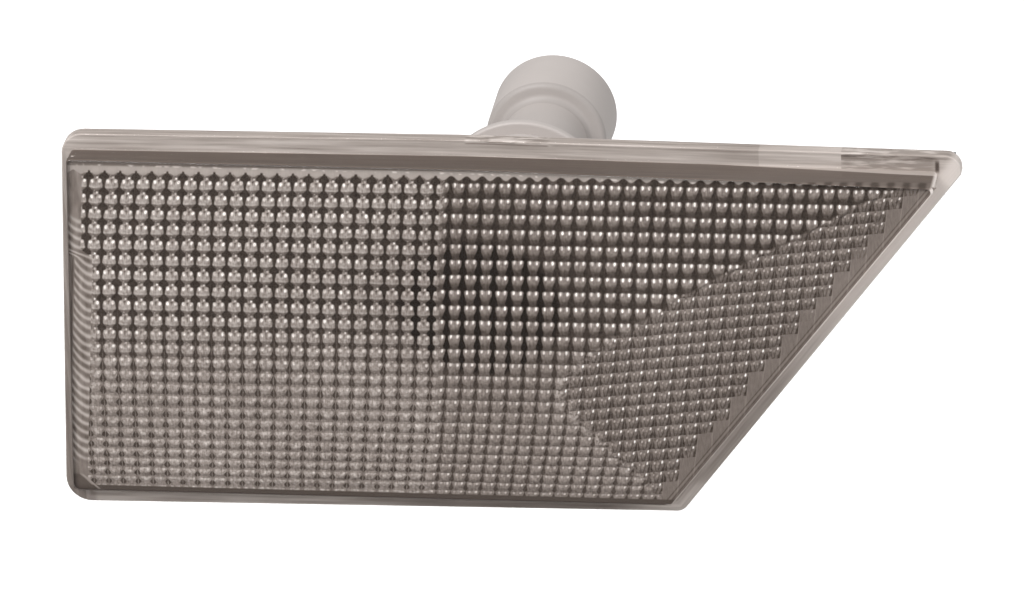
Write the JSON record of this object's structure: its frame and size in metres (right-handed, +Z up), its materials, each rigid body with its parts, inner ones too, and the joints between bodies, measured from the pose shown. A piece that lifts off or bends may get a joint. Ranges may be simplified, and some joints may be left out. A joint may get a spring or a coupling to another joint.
{
  "type": "side repeater lamp",
  "caption": "Wedge-shaped clear side repeater lamp for a car's front wing, with pillow optics and a push-in bulb holder behind",
  "frame": {"origin": "where the bulb axis crosses the rear face of the housing flange", "axes": "+Y along the bulb axis to the rear, out of the connector; the lens looks along -Y; +Z up; +X towards the pointed end of the lens"},
  "size_m": [0.0919, 0.0605, 0.0403],
  "materials": {
    "lens": "clear polished plastic",
    "housing": "light grey moulded plastic",
    "gasket": "closed-cell foam",
    "spring_clip": "spring steel",
    "vent_cap": "matt rubber",
    "bulb_holder": "pale grey moulded plastic",
    "seal_ring": "matt rubber",
    "contacts": "rolled strip",
    "bulb_glass": "clear blown glass",
    "bulb_wire": "drawn wire"
  },
  "bodies": {
    "root": {"lens": "lens", "housing": "housing", "gasket": "gasket", "spring_clip": "spring_clip", "vent_cap": "vent_cap", "bulb_holder": "bulb_holder", "seal_ring": "seal_ring", "contact_left": "contacts", "contact_right": "contacts", "bulb_glass": "bulb_glass", "bulb_leads": "bulb_wire", "filament": "bulb_wire"}
  },
  "joints": []
}
